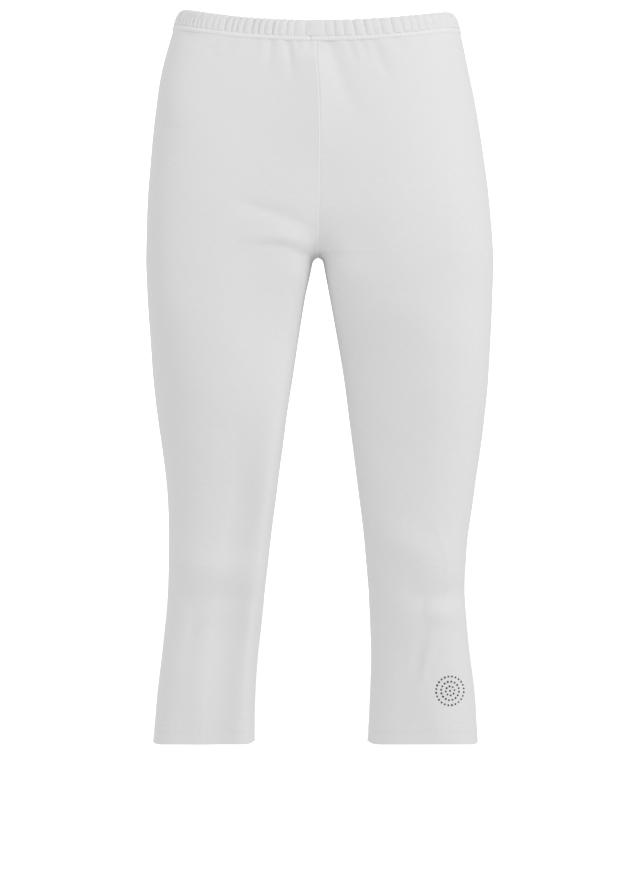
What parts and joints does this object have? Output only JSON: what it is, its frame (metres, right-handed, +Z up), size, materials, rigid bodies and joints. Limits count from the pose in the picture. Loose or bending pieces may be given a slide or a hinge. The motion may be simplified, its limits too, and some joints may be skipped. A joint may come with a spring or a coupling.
{
  "type": "capri leggings",
  "caption": "Slim capri leggings in jersey, in their worn, filled-out shape, with a gathered elastic casing at the waist, a seamed rise and inseams, and hemmed open legs.",
  "frame": {"origin": "middle of the waist opening, level with its top edge at the sides, where the wearer's waist holds the garment", "axes": "+Z up from the hems to the waist, -Y the front, +X the wearer's left"},
  "size_m": [0.3557, 0.2352, 0.7595],
  "materials": {
    "jersey": "matt white cotton and elastane single jersey",
    "casing": "matt white jersey, gathered over elastic",
    "thread": "white polyester sewing thread, slightly silky",
    "stones": "dark faceted heat-set stones, polished"
  },
  "bodies": {
    "root": {"leg_left": "jersey", "leg_right": "jersey", "waistband_casing": "casing", "waistband_seam": "thread", "rise_seam": "thread", "inseam_left": "thread", "inseam_right": "thread", "hem_left": "jersey", "hem_right": "jersey"}
  },
  "joints": []
}
